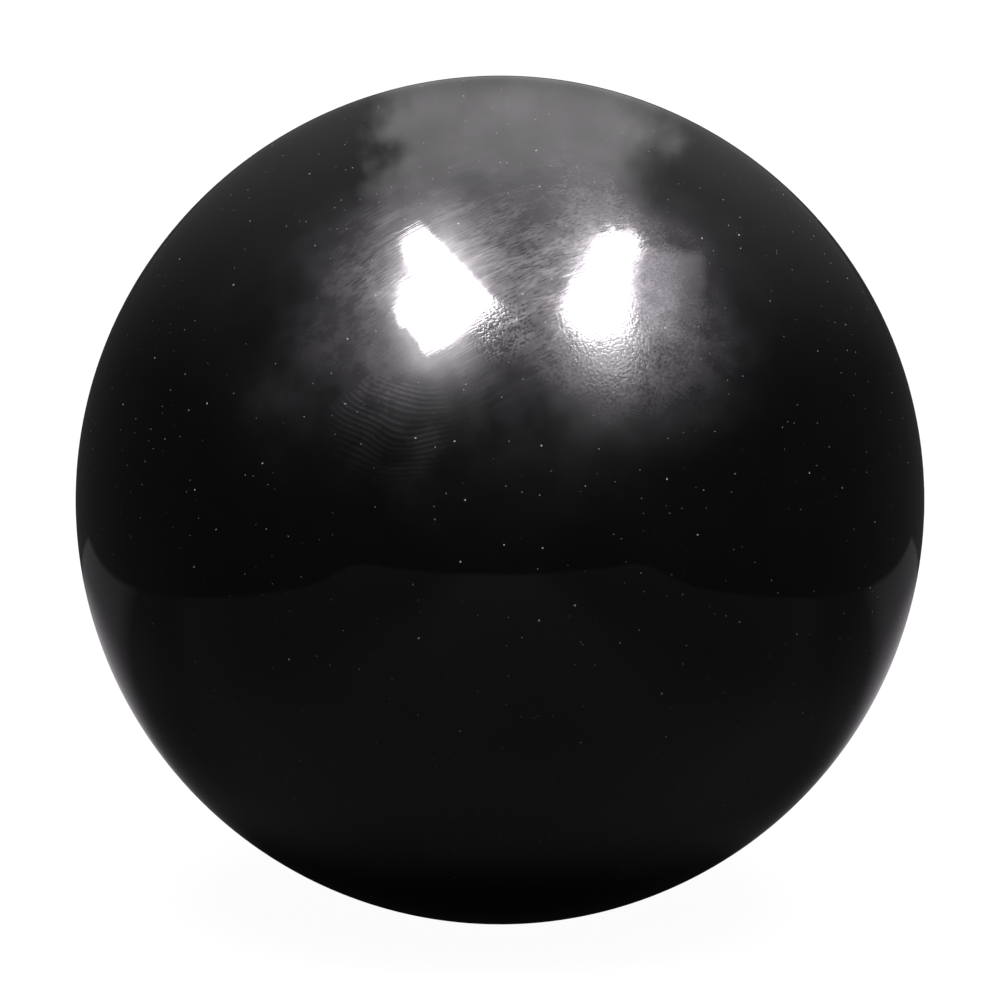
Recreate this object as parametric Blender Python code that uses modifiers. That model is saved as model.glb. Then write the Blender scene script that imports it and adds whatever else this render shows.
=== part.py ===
"""A plain black billiard ball: a filled-resin core in a cast-resin cover.

The cover is two half shells that meet on the mould's parting plane, which is the plane Z = 0.
The origin is the ball's centre, +Z is up and lengths are in metres.
"""

import math

import bpy

# Driving dimensions
BALL_DIAMETER = 0.05715  # 2 1/4 inches
COVER_THICKNESS = 0.006
GAP = 0.0003  # between pieces that touch in the real ball

# How finely the round shapes are cut
TURN_STEPS = 64  # around Z
ARC_STEP = math.radians(5.625)  # along an outline, so that a quarter circle has 16 chords
MERGE_DISTANCE = 0.00001
SHARP_ANGLE = math.radians(30)

# Worked out from the driving dimensions
BALL_RADIUS = BALL_DIAMETER / 2
CAVITY_RADIUS = BALL_RADIUS - COVER_THICKNESS
CORE_RADIUS = CAVITY_RADIUS - GAP
RIM_HEIGHT = GAP / 2  # from the parting plane to each half's rim

COLLECTION = "billiard_ball"


def clear_scene():
    for item in list(bpy.data.objects):
        bpy.data.objects.remove(item, do_unlink=True)


def resin(name, colour, roughness):
    """A hard, non-metallic resin."""
    material = bpy.data.materials.new(name)
    material.use_nodes = True
    shader = material.node_tree.nodes["Principled BSDF"]
    shader.inputs["Base Color"].default_value = (*colour, 1.0)
    shader.inputs["Roughness"].default_value = roughness
    shader.inputs["Metallic"].default_value = 0.0
    return material


def arc(radius, start, end):
    """Points (distance from Z, height) on a circle about the centre, between two latitudes."""
    chords = math.ceil(abs(end - start) / ARC_STEP - 0.001)
    latitudes = [start + (end - start) * i / chords for i in range(chords + 1)]
    return [(radius * math.cos(a), radius * math.sin(a)) for a in latitudes]


def on_axis(point):
    """The same point, exactly on Z."""
    return (0.0, point[1])


def turned(name, outline, material, collection):
    """A solid turned about Z from an outline that runs down its outer side."""
    profile = bpy.data.meshes.new(name + "_outline")
    edges = [(i, i + 1) for i in range(len(outline) - 1)]
    profile.from_pydata([(r, 0.0, z) for r, z in outline], edges, [])
    piece = bpy.data.objects.new(name, profile)
    collection.objects.link(piece)

    screw = piece.modifiers.new("turn", "SCREW")
    screw.axis = "Z"
    screw.angle = math.tau
    screw.steps = TURN_STEPS
    screw.render_steps = TURN_STEPS
    screw.use_merge_vertices = True
    screw.merge_threshold = MERGE_DISTANCE

    evaluated = piece.evaluated_get(bpy.context.evaluated_depsgraph_get())
    piece.data = bpy.data.meshes.new_from_object(evaluated)
    piece.data.name = name
    piece.modifiers.clear()
    bpy.data.meshes.remove(profile)

    piece.data.materials.append(material)
    piece.data.shade_smooth()
    piece.data.set_sharp_from_angle(angle=SHARP_ANGLE)
    return piece


def build_core(collection):
    """The round centre, which sets the ball's weight and balance."""
    outline = arc(CORE_RADIUS, math.pi / 2, -math.pi / 2)
    outline[0] = on_axis(outline[0])
    outline[-1] = on_axis(outline[-1])
    material = resin("core_resin", colour=(0.19, 0.17, 0.15), roughness=0.55)
    return turned("core", outline, material, collection)


def build_cover_half(name, collection):
    """A half shell that opens downwards: over the outside, across the rim and up the cavity."""
    outer_rim = math.asin(RIM_HEIGHT / BALL_RADIUS)
    inner_rim = math.asin(RIM_HEIGHT / CAVITY_RADIUS)
    outside = arc(BALL_RADIUS, math.pi / 2, outer_rim)
    cavity = arc(CAVITY_RADIUS, inner_rim, math.pi / 2)
    outside[0] = on_axis(outside[0])
    cavity[-1] = on_axis(cavity[-1])
    material = resin(name + "_resin", colour=(0.006, 0.006, 0.007), roughness=0.06)
    return turned(name, outside + cavity, material, collection)


def main():
    clear_scene()
    collection = bpy.data.collections.new(COLLECTION)
    bpy.context.scene.collection.children.link(collection)
    build_core(collection)
    build_cover_half("cover_upper", collection)
    lower = build_cover_half("cover_lower", collection)
    lower.rotation_euler.x = math.pi  # the same half, turned over


main()
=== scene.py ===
"""The looks of a plain black billiard ball: polished resin under hand grease, wipe marks and dust.

The ball mirrors almost everything round it, so the stage is built from its reflections: the lamps
and the lit stretches of the room are placed where the camera at the front sees them mirrored.
"""

import math

import bmesh
import bpy
from mathutils import Matrix, Vector, noise


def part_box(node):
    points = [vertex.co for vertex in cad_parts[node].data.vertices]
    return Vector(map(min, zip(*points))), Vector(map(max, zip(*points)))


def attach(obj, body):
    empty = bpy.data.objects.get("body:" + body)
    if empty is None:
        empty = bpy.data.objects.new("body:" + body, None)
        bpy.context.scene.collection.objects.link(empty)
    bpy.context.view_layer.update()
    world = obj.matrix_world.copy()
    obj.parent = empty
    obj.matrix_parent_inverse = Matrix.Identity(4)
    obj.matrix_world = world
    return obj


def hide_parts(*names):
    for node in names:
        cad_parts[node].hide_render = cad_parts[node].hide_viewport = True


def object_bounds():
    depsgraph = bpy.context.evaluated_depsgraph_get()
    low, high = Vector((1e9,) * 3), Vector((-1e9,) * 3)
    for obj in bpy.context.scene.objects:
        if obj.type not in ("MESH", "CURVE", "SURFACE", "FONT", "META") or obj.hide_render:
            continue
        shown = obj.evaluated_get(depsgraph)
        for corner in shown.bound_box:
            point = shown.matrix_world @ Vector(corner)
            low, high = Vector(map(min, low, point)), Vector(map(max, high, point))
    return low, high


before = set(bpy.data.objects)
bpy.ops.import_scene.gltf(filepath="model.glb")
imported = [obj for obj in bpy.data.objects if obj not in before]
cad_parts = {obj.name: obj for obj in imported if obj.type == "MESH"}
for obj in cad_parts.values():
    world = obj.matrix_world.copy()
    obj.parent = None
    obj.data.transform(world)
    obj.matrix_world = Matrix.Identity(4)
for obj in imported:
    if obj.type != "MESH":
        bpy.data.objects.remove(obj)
cad_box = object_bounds()

# The ball, from the frame
BALL_RADIUS = cad_box[1].z
CORE_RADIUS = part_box("core")[1].z
CORE_GAP = 0.0003
CAVITY_RADIUS = CORE_RADIUS + CORE_GAP
DOME_CUTS = 63  # odd, so that a loop of edges lies on the parting plane
RIM_TILT = 0.5  # a face that looks less outward or inward than this is on a half shell's rim
MILLIMETRE = 0.001
BALL_RADIUS_MM = BALL_RADIUS / MILLIMETRE

# The camera: the ball nearly fills the frame, seen from a little above
CAMERA_ELEVATION = math.radians(10)
CAMERA_DISTANCE = 0.60
SENSOR_WIDTH = 36.0
BALL_SHARE_OF_FRAME = 0.849

FORWARD = Vector((0, math.cos(CAMERA_ELEVATION), -math.sin(CAMERA_ELEVATION)))
ACROSS = Vector((1, 0, 0))
UPWARD = ACROSS.cross(FORWARD)
EYE = -FORWARD * CAMERA_DISTANCE
BALL_HALF_ANGLE = math.asin(BALL_RADIUS / CAMERA_DISTANCE)


def line_of_sight(right, up):
    """Where the camera sees the ball, and which way it is mirrored there.

    right and up are measured from the ball's centre, in radii of the ball as the camera sees it.
    """
    ray = (FORWARD + math.tan(BALL_HALF_ANGLE) * (right * ACROSS + up * UPWARD)).normalized()
    nearest = -ray.dot(EYE)
    missed_by = EYE.length_squared - nearest**2
    hit = EYE + ray * (nearest - math.sqrt(BALL_RADIUS**2 - missed_by))
    return hit, ray.reflect(hit.normalized())


def seen_at(right, up):
    """The point of the ball that the camera sees there."""
    return line_of_sight(right, up)[0]


# Shader graphs


class Graph:
    """Short ways to add linked nodes to a material or a world."""

    def __init__(self, owner):
        owner.use_nodes = True
        self.tree = owner.node_tree
        self.tree.nodes.clear()

    def add(self, kind, inputs=(), **settings):
        node = self.tree.nodes.new(kind)
        for name, value in settings.items():
            setattr(node, name, value)
        for key, value in dict(inputs).items():
            self.feed(node.inputs[key], value)
        return node

    def feed(self, socket, value):
        if isinstance(value, bpy.types.NodeSocket):
            self.tree.links.new(value, socket)
        else:
            socket.default_value = value

    def math(self, operation, a, b=0.0):
        return self.add("ShaderNodeMath", {0: a, 1: b}, operation=operation).outputs[0]

    def times(self, *factors):
        product = factors[0]
        for factor in factors[1:]:
            product = self.math("MULTIPLY", product, factor)
        return product

    def plus(self, *terms):
        total = terms[0]
        for term in terms[1:]:
            total = self.math("ADD", total, term)
        return total

    def most(self, a, b):
        return self.math("MAXIMUM", a, b)

    def changed(self, value, change, amount):
        """The value, made larger or smaller by a share: value * (1 + change * amount)."""
        return self.times(value, self.plus(self.times(change, amount), 1.0))

    def vector(self, operation, a, b=(0, 0, 0)):
        return self.add("ShaderNodeVectorMath", {0: a, 1: b}, operation=operation).outputs[0]

    def dot(self, a, b):
        node = self.add("ShaderNodeVectorMath", {0: a, 1: b}, operation="DOT_PRODUCT")
        return node.outputs["Value"]

    def distance(self, a, b):
        node = self.add("ShaderNodeVectorMath", {0: a, 1: b}, operation="DISTANCE")
        return node.outputs["Value"]

    def combined(self, x=0.0, y=0.0, z=0.0):
        return self.add("ShaderNodeCombineXYZ", {0: x, 1: y, 2: z}).outputs[0]

    def separated(self, vector):
        return self.add("ShaderNodeSeparateXYZ", {0: vector}).outputs

    def place(self, unit):
        """The point being shaded, in the object's own axes, in units of that many metres."""
        metres = self.add("ShaderNodeTexCoord").outputs["Object"]
        return self.vector("MULTIPLY", metres, (1 / unit,) * 3)

    def noise(self, vector, size, detail=2.0, roughness=0.5):
        """Cloudy noise about 0.5, with clouds of that size in the vector's own units."""
        inputs = {"Vector": vector, "Scale": 1 / size, "Detail": detail, "Roughness": roughness}
        return self.add("ShaderNodeTexNoise", inputs).outputs["Fac"]

    def ramp(self, value, low, high, start=0.0, end=1.0):
        """A smooth step: start at low, end at high, and level past both."""
        inputs = {0: value, 1: low, 2: high, 3: start, 4: end}
        return self.add("ShaderNodeMapRange", inputs, interpolation_type="SMOOTHSTEP").outputs[0]

    def mixed(self, share, first, second):
        return self.add("ShaderNodeMix", {0: share, 2: first, 3: second}).outputs[0]

    def mixed_colour(self, share, first, second):
        inputs = {0: share, 6: first, 7: second}
        return self.add("ShaderNodeMix", inputs, data_type="RGBA").outputs[2]

    def seen_or_not(self, kind, hidden, seen):
        """One shader for the camera and another for everything that the ball mirrors."""
        camera = self.add("ShaderNodeLightPath").outputs["Is Camera Ray"]
        both = self.add("ShaderNodeMixShader", {0: camera, 1: hidden, 2: seen})
        self.add(kind, {"Surface": both.outputs[0]})


# The ball's pieces


def dome(radius, inward):
    """The upper half of a sphere, as an even net of four-sided faces, in a bmesh."""
    bm = bmesh.new()
    bmesh.ops.create_cube(bm, size=2.0)
    bmesh.ops.subdivide_edges(bm, edges=bm.edges[:], cuts=DOME_CUTS, use_grid_fill=True)
    half_a_face = 1 / (DOME_CUTS + 1)
    below = [vert for vert in bm.verts if vert.co.z < -half_a_face]
    bmesh.ops.delete(bm, geom=below, context="VERTS")
    for vert in bm.verts:
        spread = Vector([math.tan(c * math.pi / 4) for c in vert.co])
        vert.co = spread.normalized() * radius
    if inward:
        bmesh.ops.reverse_faces(bm, faces=bm.faces[:])
    return bm


def half_shell_mesh(name, turned_over):
    """Half of the cover: the polished outside, the cavity's wall, and the rim between them."""
    bm = dome(BALL_RADIUS, inward=False)
    cavity = dome(CAVITY_RADIUS, inward=True)
    cavity_mesh = bpy.data.meshes.new("cavity")
    cavity.to_mesh(cavity_mesh)
    cavity.free()
    bm.from_mesh(cavity_mesh)
    bpy.data.meshes.remove(cavity_mesh)
    rims = [edge for edge in bm.edges if edge.is_boundary]
    bmesh.ops.bridge_loops(bm, edges=rims)
    bmesh.ops.recalc_face_normals(bm, faces=bm.faces[:])
    if turned_over:
        bmesh.ops.rotate(bm, verts=bm.verts[:], matrix=Matrix.Rotation(math.pi, 3, "X"))
    mesh = bpy.data.meshes.new(name)
    bm.to_mesh(mesh)
    bm.free()
    mesh.shade_smooth()
    set_round_normals(mesh)
    return mesh


def set_round_normals(mesh):
    """True sphere normals, so that reflections run unbroken over the parting plane."""
    normals = [Vector()] * len(mesh.loops)
    for face in mesh.polygons:
        tilt = face.normal.dot(face.center.normalized())
        on_rim = abs(tilt) < RIM_TILT
        for loop in face.loop_indices:
            out = mesh.vertices[mesh.loops[loop].vertex_index].co.normalized()
            normals[loop] = face.normal.copy() if on_rim else out * math.copysign(1, tilt)
    mesh.normals_split_custom_set(normals)


def build_cover(name, turned_over, material):
    piece = bpy.data.objects.new(name + "_polished", half_shell_mesh(name, turned_over))
    bpy.context.scene.collection.objects.link(piece)
    piece.data.materials.append(material)
    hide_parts(name)
    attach(piece, "root")


# Marks on the polished resin. Lengths are in millimetres.

WIPE_DIRECTION = (0.87, 0.24, 0.44)
RIDGE_PITCH = 0.37  # between a fingerprint's ridges
RIDGE_WANDER = 1.0
DRIFT = 7.0  # how far a film's rim strays from an oval
PRINT_REACH = (5.5, 4.2)
SMUDGE_REACH = (11.0, 8.0)
# Each print: the way out to it from the ball's centre, its whorl, its lean, and the grease round it
PRINTS = [
    (seen_at(-0.25, 0.17), (1.5, 8.0), 0.0, 0.06),
    (Vector((-0.52, 0.66, 0.54)), (0.8, 1.6), 0.6, 0.26),
    (Vector((0.84, 0.36, 0.40)), (-1.0, 2.2), -0.4, 0.18),
    (Vector((0.35, 0.93, 0.12)), (0.6, -1.8), -0.9, 0.20),
    (Vector((-0.86, -0.18, -0.48)), (0.5, 2.0), 0.3, 0.12),
]

RESIN_BLACK = (0.0007, 0.0007, 0.0008, 1)
DUST_GREY = (0.11, 0.11, 0.107, 1)
CORE_DARK = (0.15, 0.13, 0.11, 1)
CORE_LIGHT = (0.23, 0.21, 0.185, 1)
FILLER_GRAIN = (0.42, 0.39, 0.35, 1)
# painted shade inside the core's casting pores
PORE_SHADE = (0.05, 0.045, 0.04, 1)
GREASE_SCATTER = 0.46  # the roughness of the greasy coat
RESIN_IOR = 1.5
MARK_DEPTH = 0.0000012  # metres
CORE_PIT_DEPTH = 0.00006  # metres


def patch_space(g, place, centre, lean=0.0):
    """Millimetres across, up and out from a point on the ball, as seen square on to it.

    lean turns the patch anticlockwise.
    """
    out = centre.normalized()
    across = Vector((0, 0, 1)).cross(out).normalized()
    turned = Matrix.Rotation(lean, 3, out) @ across
    right, up, off = (g.dot(place, tuple(way)) for way in (turned, out.cross(turned), out))
    return g.combined(right, up, g.plus(off, -BALL_RADIUS_MM))


def oval(g, space, middle, reach, soft):
    """1 inside an oval about middle, falling to 0 over its outer share, soft, of the reach."""
    in_reaches = g.vector("DIVIDE", space, (*reach, BALL_RADIUS_MM / 2))
    away = g.distance(in_reaches, (middle[0] / reach[0], middle[1] / reach[1], 0))
    return g.ramp(away, 1 - soft, 1, 1, 0)


def on_surface(g, place):
    """The point of the ball's surface straight out from a place inside or outside it."""
    return g.vector("MULTIPLY", g.vector("NORMALIZE", place), (BALL_RADIUS_MM,) * 3)


def streaks(g, place, size, length):
    """Fine lines along the wiping direction, from noise drawn out along it."""
    out = Vector(WIPE_DIRECTION).normalized()
    side = out.orthogonal().normalized()
    rows = (side / size, out.cross(side) / size, out / length)
    drawn_out = g.combined(*(g.dot(place, tuple(row)) for row in rows))
    return g.noise(drawn_out, size=1.0, detail=3.0, roughness=0.6)


def dust(g, place, spacing, largest, share, seed):
    """Scattered specks: one per cell of a random net, kept in a share of the cells."""
    shift = Vector((seed, -seed, seed / 2))
    shifted = g.vector("ADD", place, tuple(shift))
    net = g.add("ShaderNodeTexVoronoi", {"Vector": shifted, "Scale": 1 / spacing}, feature="F1")
    pick, size, _ = g.separated(net.outputs["Color"])
    middle = g.vector("SUBTRACT", net.outputs["Position"], tuple(shift))
    away = g.distance(on_surface(g, place), on_surface(g, middle))
    radius = g.ramp(size, 0.0, 1.0, largest / 4, largest)
    return g.times(g.math("LESS_THAN", pick, share), g.math("LESS_THAN", away, radius))


def hand_grease(g, handled, ragged, palm, clouds, mottle):
    """Grease left by hands: a thick patch with a cloudy skirt, a palm's mark and a thumb's.

    handled and ragged are the patch most handled, true and with a wandering rim.
    """
    grip = oval(g, ragged, middle=(0.0, -0.8), reach=(20.5, 12.8), soft=0.85)
    skirt = oval(g, ragged, middle=(0.5, -1.0), reach=(27.0, 19.0), soft=0.75)
    heel = oval(g, palm, middle=(1.5, -0.2), reach=(9.5, 7.5), soft=0.8)
    thumb = oval(g, handled, middle=(-13.5, -7.7), reach=(8.0, 6.5), soft=0.9)
    wiped_off = oval(g, handled, middle=(0.0, -9.5), reach=(7.0, 8.5), soft=0.9)
    grease = g.plus(
        g.times(grip, 0.47),
        g.times(skirt, g.ramp(clouds, 0.30, 0.66, 0.03, 0.14)),
        g.times(heel, 0.37),
        g.times(thumb, 0.14),
    )
    return g.changed(g.times(grease, g.ramp(mottle, 0.30, 0.70, 0.60, 1.15)), wiped_off, -0.5)


def finger_ridges(g, space, whorl, wander, patchy):
    """Ridge lines of one finger in grease: rings about the whorl, inside an oval print."""
    flat = g.vector("MULTIPLY", space, (1, 1, 0))
    from_whorl = g.plus(g.distance(flat, (*whorl, 0)), g.times(wander, RIDGE_WANDER))
    ridge = g.ramp(g.math("SINE", g.times(from_whorl, math.tau / RIDGE_PITCH)), -0.6, 0.9)
    return g.times(ridge, patchy, oval(g, space, middle=(0, 0), reach=PRINT_REACH, soft=0.55))


def fingerprints(g, place, drift, mottle):
    """All the prints. Returns their ridges and the grease smeared round them."""
    wander = g.noise(place, size=3.2, detail=0.0)
    patchy = g.ramp(mottle, 0.28, 0.55)
    thickness = g.ramp(mottle, 0.30, 0.70, 0.4, 1.2)
    ridges, smears = 0.0, 0.0
    for centre, whorl, lean, smear in PRINTS:
        space = patch_space(g, place, centre, lean)
        smudge = oval(g, g.vector("ADD", space, drift), (0, 0), SMUDGE_REACH, soft=0.8)
        ridges = g.most(ridges, finger_ridges(g, space, whorl, wander, patchy))
        smears = g.plus(smears, g.times(smudge, thickness, smear))
    return ridges, smears


def wipe_marks(g, place, ragged):
    """A cloth's marks. Returns fine lines, their light and dark, and how far the resin is wiped."""
    fine = streaks(g, place, size=0.12, length=4.0)
    wide = streaks(g, place, size=0.7, length=12.0)
    wiped = g.times(
        oval(g, ragged, middle=(2.0, 1.2), reach=(23.0, 14.5), soft=0.7),
        g.ramp(wide, 0.30, 0.60, 0.3, 1.0),
    )
    light_and_dark = g.plus(
        g.ramp(fine, 0.34, 0.68, -0.48, 0.48),
        g.ramp(wide, 0.30, 0.70, -0.25, 0.25),
    )
    return fine, g.times(light_and_dark, wiped), wiped


def skin_grain(g, place, handled, palm):
    """The grain of the skin pressed into the grease, light and dark about 0, in two spots."""
    spots = g.most(
        oval(g, palm, middle=(-0.7, 0.1), reach=(8.0, 6.3), soft=0.9),
        oval(g, handled, middle=(0.2, -4.8), reach=(2.6, 3.0), soft=0.6),
    )
    grain = g.noise(place, size=0.19, detail=1.0)
    return g.times(g.ramp(grain, 0.35, 0.65, -0.5, 0.5), spots)


def handling_marks(g, place, mottle):
    """What hands and cloths left. Returns the haze's weight, its relief and how wiped it is."""
    handled = patch_space(g, place, seen_at(0.0, 0.55))
    palm = patch_space(g, place, seen_at(0.31, 0.33))
    clouds = g.noise(place, size=9.0, detail=3.0, roughness=0.55)
    shift = g.times(g.plus(g.noise(place, size=7.0, detail=1.0), -0.5), 2 * DRIFT)
    drift = g.combined(shift, shift)
    ragged = g.vector("ADD", handled, drift)

    lines, light_and_dark, wiped = wipe_marks(g, place, ragged)
    ridges, smears = fingerprints(g, place, drift, mottle)
    grain = skin_grain(g, place, handled, palm)
    thin_film = g.ramp(clouds, 0.35, 0.75, 0.012, 0.065)
    haze = g.plus(thin_film, hand_grease(g, handled, ragged, palm, clouds, mottle), smears)
    haze = g.changed(haze, light_and_dark, 1.0)
    haze = g.changed(haze, grain, 0.8)
    haze = g.changed(haze, ridges, 0.8)
    haze = g.math("MINIMUM", g.plus(haze, g.times(ridges, 0.02)), 1.0)
    relief = g.plus(
        g.times(lines, g.plus(g.times(wiped, 4.5), 0.2)),
        g.times(ridges, 0.8),
        g.times(grain, 3.0),
    )
    return haze, relief, wiped


def polished_resin():
    """Black cast resin with a mirror polish, under what hands and cloths have left on it."""
    material = bpy.data.materials.new("polished_black_resin")
    g = Graph(material)
    place = g.place(MILLIMETRE)
    mottle = g.noise(place, size=2.2, detail=3.0, roughness=0.65)
    haze, relief, wiped = handling_marks(g, place, mottle)
    specks = g.most(
        dust(g, place, spacing=2.6, largest=0.062, share=0.30, seed=3.0),
        g.times(dust(g, place, spacing=0.95, largest=0.038, share=0.20, seed=11.0), 0.75),
    )
    polish = g.plus(g.times(mottle, 0.05), g.times(wiped, 0.03), 0.015)
    bump = g.add("ShaderNodeBump", {"Strength": 1.0, "Distance": MARK_DEPTH, "Height": relief})
    shader = g.add(
        "ShaderNodeBsdfPrincipled",
        {
            "Base Color": g.mixed_colour(specks, RESIN_BLACK, DUST_GREY),
            "Metallic": 0.0,
            "Roughness": g.most(polish, g.times(specks, 0.7)),
            "IOR": RESIN_IOR,
            "Normal": bump.outputs[0],
            "Coat Weight": haze,
            "Coat Roughness": GREASE_SCATTER,
            "Coat IOR": RESIN_IOR,
        },
    )
    g.add("ShaderNodeOutputMaterial", {"Surface": shader.outputs[0]})
    return material


def filled_resin():
    """The core's resin: a dull brownish grey with pale filler grains and small casting pores, their
    pits darkened by painted shade.
    """
    material = bpy.data.materials.new("filled_core_resin")
    g = Graph(material)
    place = g.place(MILLIMETRE)
    swirl = g.noise(place, size=7.0, detail=4.0)
    grains = dust(g, place, spacing=0.9, largest=0.20, share=0.45, seed=5.0)
    pores = dust(g, place, spacing=2.4, largest=0.16, share=0.35, seed=17.0)
    colour = g.mixed_colour(g.ramp(swirl, 0.3, 0.7), CORE_DARK, CORE_LIGHT)
    colour = g.mixed_colour(g.times(grains, 0.6), colour, FILLER_GRAIN)
    # painted shade: darker where the casting pores sink in
    colour = g.mixed_colour(g.times(pores, 0.8), colour, PORE_SHADE)
    height = g.plus(g.noise(place, size=0.35, detail=3.0), g.times(pores, -1.5))
    bump = g.add("ShaderNodeBump", {"Strength": 0.6, "Distance": CORE_PIT_DEPTH, "Height": height})
    roughness = g.ramp(swirl, 0.3, 0.7, 0.48, 0.66)
    shader = g.add(
        "ShaderNodeBsdfPrincipled",
        {"Base Color": colour, "Roughness": roughness, "Normal": bump.outputs[0]},
    )
    g.add("ShaderNodeOutputMaterial", {"Surface": shader.outputs[0]})
    return material


# The stage

FLOOR_HALF_WIDTH = 3.0
PAPER_WHITE = 0.965
SHADOW_ALBEDO = (0.02, 0.02, 0.02, 1)
DIM_ROOM = 0.035
DIM_SHEET = 0.004
ROOM_COLOUR = (1.0, 0.97, 0.995, 1)
WHITE = (1, 1, 1, 1)

# The sheet's edges, in ball radii from the ball's lowest point, and half the width of their blur
SHEET_FRONT = -6.8
SHEET_BACK = 3.9
SHEET_RIM = 0.12
SHEET_FRONT_STEEPNESS = 0.3  # of the front edge's blur, where the other edges have 1

LAMP_HEIGHT = 1.2
LAMP_COLOUR = (1.0, 0.935, 1.01, 1)
LAMP_STRENGTH = 45.0
PANEL_COLOUR = (1.0, 0.95, 1.04, 1)
HALO_STRENGTH = 9.0
HALO_FALL = 4.0  # the power of the distance by which a halo fades
FRINGE_SIZE = 0.024
LOBE_SIZE = 0.08
FRAY_DEPTH = 0.4  # how far an edge strays, as a share of the size of its lobes
FRAY_SPACING = 0.008

# Mirrored outlines, in ball radii from its centre as the camera sees it: only the corners, since
# noise frays the edges
LEFT_LAMP_CLEAN = [(-0.19, 0.65), (-0.08, 0.54)]
LEFT_LAMP_RAGGED = [
    (-0.01, 0.44), (-0.12, 0.39), (-0.18, 0.33), (-0.25, 0.43), (-0.21, 0.55), (-0.22, 0.61),
    (-0.19, 0.65),
]
RIGHT_LAMP_RAGGED = [
    (0.25, 0.65), (0.32, 0.62), (0.30, 0.50), (0.31, 0.42), (0.24, 0.36), (0.15, 0.43),
    (0.20, 0.57), (0.25, 0.65),
]
SIDE_PANEL = [(0.32, 0.57), (0.48, 0.58), (0.46, 0.38), (0.33, 0.40)]


def frayed(outline, seed):
    """The same outline with wandering lobes and a fine, ragged edge."""
    noise.seed_set(seed)  # unseeded, noise_vector starts from the clock and changes every run
    points = []
    for start, end in zip(outline, outline[1:]):
        start, end = Vector(start), Vector(end)
        steps = round((end - start).length / FRAY_SPACING)
        for i in range(steps):
            point = start.lerp(end, i / steps)
            fringe, lobe = (
                noise.noise_vector(point.to_3d() / size).to_2d() * size * FRAY_DEPTH
                for size in (FRINGE_SIZE, LOBE_SIZE)
            )
            points.append(point + fringe + lobe)
    return points


def on_ceiling(right, up):
    """The point of the ceiling that the camera sees mirrored at that place on the ball."""
    hit, ray = line_of_sight(right, up)
    return hit + ray * ((LAMP_HEIGHT - hit.z) / ray.z)


def stage_mesh(name, corners, material):
    mesh = bpy.data.meshes.new(name)
    mesh.from_pydata(corners, [], [tuple(range(len(corners)))])
    piece = bpy.data.objects.new(name, mesh)
    bpy.context.scene.collection.objects.link(piece)
    mesh.materials.append(material)
    return piece


def build_lamp(name, outline, material):
    """A flat light overhead, cut so that the ball mirrors it with that outline."""
    lamp = stage_mesh(name, [on_ceiling(*point) for point in outline], material)
    lamp.visible_camera = False


def lamp_glow():
    material = bpy.data.materials.new("lamp")
    g = Graph(material)
    light = g.add("ShaderNodeEmission", {"Color": LAMP_COLOUR, "Strength": LAMP_STRENGTH})
    g.add("ShaderNodeOutputMaterial", {"Surface": light.outputs[0]})
    return material


def side_panel_glow():
    """Brightest beside the lamp, and fading away from it."""
    material = bpy.data.materials.new("side_panel")
    g = Graph(material)
    bright, dim = on_ceiling(0.33, 0.57), on_ceiling(0.49, 0.47)
    across = dim - bright
    along = g.dot(g.place(1.0), tuple(across / across.length_squared))
    start = bright.dot(across) / across.length_squared
    fading = g.ramp(along, start, start + 1, 4.5, 0.6)
    light = g.add("ShaderNodeEmission", {"Color": PANEL_COLOUR, "Strength": fading})
    g.add("ShaderNodeOutputMaterial", {"Surface": light.outputs[0]})
    return material


def sheet(g, radii):
    """A dim sheet on the table under the ball, wider in front. Returns its mask and its darkness,
    with painted shadow round the ball and painted light behind it.
    """
    across, depth, _ = g.separated(radii)
    aside = g.math("ABSOLUTE", across)
    half_width = g.ramp(depth, -6.5, -2.6, 4.6, 3.35)
    past_side = g.math("SUBTRACT", aside, half_width)
    past_front = g.times(g.plus(depth, -SHEET_FRONT), -SHEET_FRONT_STEEPNESS)
    past_back = g.plus(depth, -SHEET_BACK)
    past_edge = g.most(g.most(past_side, past_front), past_back)
    on_sheet = g.ramp(past_edge, -SHEET_RIM, SHEET_RIM, 1.0, 0.0)
    behind = g.distance(radii, (0.0, 2.5, -1.0))
    under = g.distance(radii, (0.0, 0.15, -1.0))
    # painted shadow: the sheet made darker beside the ball and just behind it
    front = g.times(g.ramp(aside, 0.6, 1.8, 1.0, 0.68), g.ramp(depth, -0.6, 0.1, 1.0, 0.6))
    shade = g.most(front, g.ramp(depth, 0.3, 1.5))
    # painted contact shadow darkens the sheet under the ball; a painted pool of light brightens it
    # behind
    painted_light_and_tone = g.plus(
        g.times(g.ramp(under, 0.45, 0.80, 0.012, 0.025), shade),
        g.ramp(behind, 0.9, 2.5, 0.10, 0.0),
    )
    return on_sheet, painted_light_and_tone


def floor_material():
    """White to the camera, with a faint shadow. The ball mirrors a dim sheet on a dark table, with
    painted shadow round the ball and painted light behind it.
    """
    material = bpy.data.materials.new("floor")
    g = Graph(material)
    on_sheet, painted_light_and_tone = sheet(g, g.place(BALL_RADIUS))
    lit = g.add("ShaderNodeBsdfDiffuse", {"Color": g.times(painted_light_and_tone, on_sheet)})
    dim = g.add("ShaderNodeEmission", {"Strength": g.mixed(on_sheet, DIM_ROOM, DIM_SHEET)})
    mirrored = g.add("ShaderNodeAddShader", {0: lit.outputs[0], 1: dim.outputs[0]})
    white = g.add("ShaderNodeEmission", {"Color": WHITE, "Strength": PAPER_WHITE})
    shadow = g.add("ShaderNodeBsdfDiffuse", {"Color": SHADOW_ALBEDO})
    pale = g.add("ShaderNodeAddShader", {0: white.outputs[0], 1: shadow.outputs[0]})
    g.seen_or_not("ShaderNodeOutputMaterial", mirrored.outputs[0], pale.outputs[0])
    return material


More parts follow.
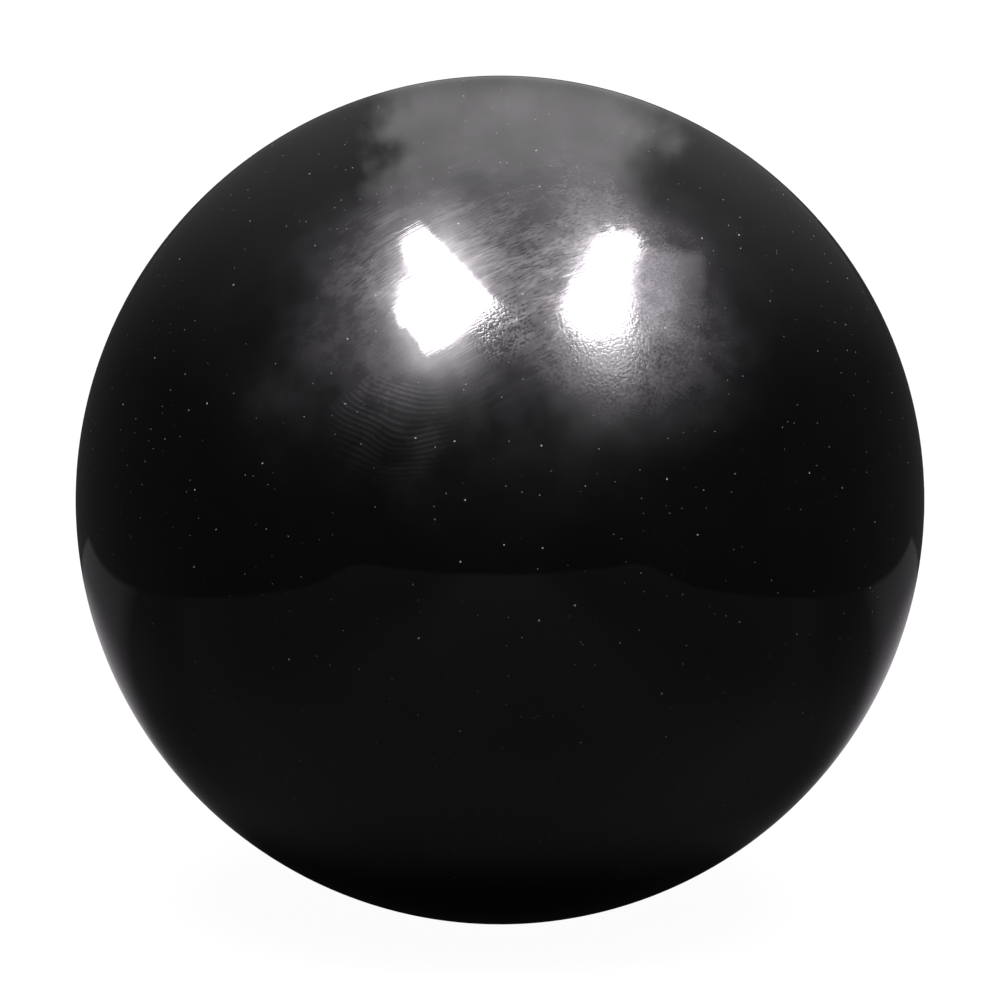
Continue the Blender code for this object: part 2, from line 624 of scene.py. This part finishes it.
def build_floor():
    w = FLOOR_HALF_WIDTH
    z = -BALL_RADIUS
    stage_mesh("floor", [(-w, -w, z), (w, -w, z), (w, w, z), (-w, w, z)], floor_material())


def mirrored_at(g, way):
    """Where on the ball the camera sees that part of the room, and how squarely it sees it there.

    The place is in radii right and up of the ball's centre, as for line_of_sight.
    """
    ray = tuple(FORWARD)
    for _ in range(2):
        out = g.vector("NORMALIZE", g.vector("SUBTRACT", way, ray))
        spread = g.vector("MULTIPLY", out, (math.tan(BALL_HALF_ANGLE),) * 3)
        ray = g.vector("NORMALIZE", g.vector("ADD", spread, tuple(FORWARD)))
    depth = g.plus(g.times(g.dot(out, tuple(FORWARD)), BALL_RADIUS), CAMERA_DISTANCE)
    size = g.math("DIVIDE", BALL_RADIUS / math.tan(BALL_HALF_ANGLE), depth)
    right = g.times(g.dot(out, tuple(ACROSS)), size)
    up = g.times(g.dot(out, tuple(UPWARD)), size)
    return g.combined(right, up), g.times(g.dot(out, ray), -1.0)


def lit_strip(g, seen, ragged, facing):
    """A long lit stretch of ceiling behind the lamps, with a duller shelf across it."""
    right, up, _ = g.separated(ragged)
    leaning = g.plus(right, g.times(up, -0.5), 0.36)
    shelf = oval(g, seen, middle=(-0.03, 0.735), reach=(0.19, 0.05), soft=0.5)
    return g.times(
        g.ramp(right, -0.34, -0.20),
        g.ramp(leaning, 0.15, 0.40, 1.0, 0.0),
        g.ramp(up, 0.54, 0.80),
        g.ramp(facing, 0.13, 0.62, 0.20, 1.9),
        g.ramp(g.noise(seen, size=0.12, detail=4.0), 0.3, 0.7, 0.86, 1.08),
        g.ramp(right, -0.3, 0.2, 0.86, 1.0),
        g.plus(g.times(shelf, -0.16), 1.0),
    )


def ceiling_glow(g, seen, ragged, facing):
    """Light spilt over the rest of the ceiling, strongest to the right and overhead."""
    _, height, _ = g.separated(seen)
    right, _, _ = g.separated(ragged)
    overhead = g.math("DIVIDE", height, g.distance(seen, (0, 0, 0)))
    return g.times(
        g.ramp(overhead, 0.3, 1.05, 0.0, 0.13),
        g.ramp(right, -0.6, 0.4, 0.6, 1.0),
        g.ramp(facing, 0.14, 0.5, 1.0, 2.2),
        g.ramp(facing, 0.55, 0.85, 1.0, 0.0),
    )


def halo(g, seen, middle, reach):
    """Light that fades outwards from an oval."""
    in_reaches = g.vector("DIVIDE", seen, (*reach, 1))
    away = g.distance(in_reaches, (middle[0] / reach[0], middle[1] / reach[1], 0))
    return g.times(
        g.math("POWER", g.most(away, 1.0), -HALO_FALL),
        g.ramp(away, 1.2, 2.9, HALO_STRENGTH, 0.0),
    )


def build_room():
    """White to the camera. To the ball, a dark room with glows round the lamps and a lit strip."""
    world = bpy.data.worlds.new("room")
    bpy.context.scene.world = world
    g = Graph(world)
    seen, facing = mirrored_at(g, g.add("ShaderNodeTexCoord").outputs["Generated"])
    wobble = g.add("ShaderNodeTexNoise", {"Vector": seen, "Scale": 10.0, "Detail": 4.0})
    offset = g.vector("SUBTRACT", wobble.outputs["Color"], (0.5, 0.5, 0.5))
    ragged = g.vector("ADD", seen, g.vector("MULTIPLY", offset, (0.28, 0.16, 0.0)))
    loose = g.vector("ADD", seen, g.vector("MULTIPLY", offset, (0.084, 0.08, 0.0)))
    light = g.plus(
        lit_strip(g, seen, ragged, facing),
        ceiling_glow(g, seen, ragged, facing),
        halo(g, loose, middle=(-0.152, 0.472), reach=(0.094, 0.140)),
        halo(g, loose, middle=(0.250, 0.472), reach=(0.084, 0.148)),
        DIM_ROOM,
    )
    mirrored = g.add("ShaderNodeBackground", {"Color": ROOM_COLOUR, "Strength": light})
    white = g.add("ShaderNodeBackground", {"Color": WHITE, "Strength": 1.0})
    g.seen_or_not("ShaderNodeOutputWorld", mirrored.outputs[0], white.outputs[0])


def build_camera():
    data = bpy.data.cameras.new("camera")
    camera = bpy.data.objects.new("camera", data)
    bpy.context.scene.collection.objects.link(camera)
    half_frame = math.tan(BALL_HALF_ANGLE) / BALL_SHARE_OF_FRAME
    data.sensor_width = SENSOR_WIDTH
    data.lens = SENSOR_WIDTH / 2 / half_frame
    camera.location = EYE
    camera.rotation_euler = (math.pi / 2 - CAMERA_ELEVATION, 0, 0)
    bpy.context.scene.camera = camera


resin = polished_resin()
build_cover("cover_upper", False, resin)
build_cover("cover_lower", True, resin)
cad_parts["core"].data.materials.clear()
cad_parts["core"].data.materials.append(filled_resin())

build_room()
build_floor()
glow = lamp_glow()
build_lamp("left_lamp", LEFT_LAMP_CLEAN + frayed(LEFT_LAMP_RAGGED, seed=14), glow)
build_lamp("right_lamp", frayed(RIGHT_LAMP_RAGGED, seed=5), glow)
build_lamp("side_panel", SIDE_PANEL, side_panel_glow())
build_camera()
bpy.context.scene.view_settings.view_transform = "Standard"
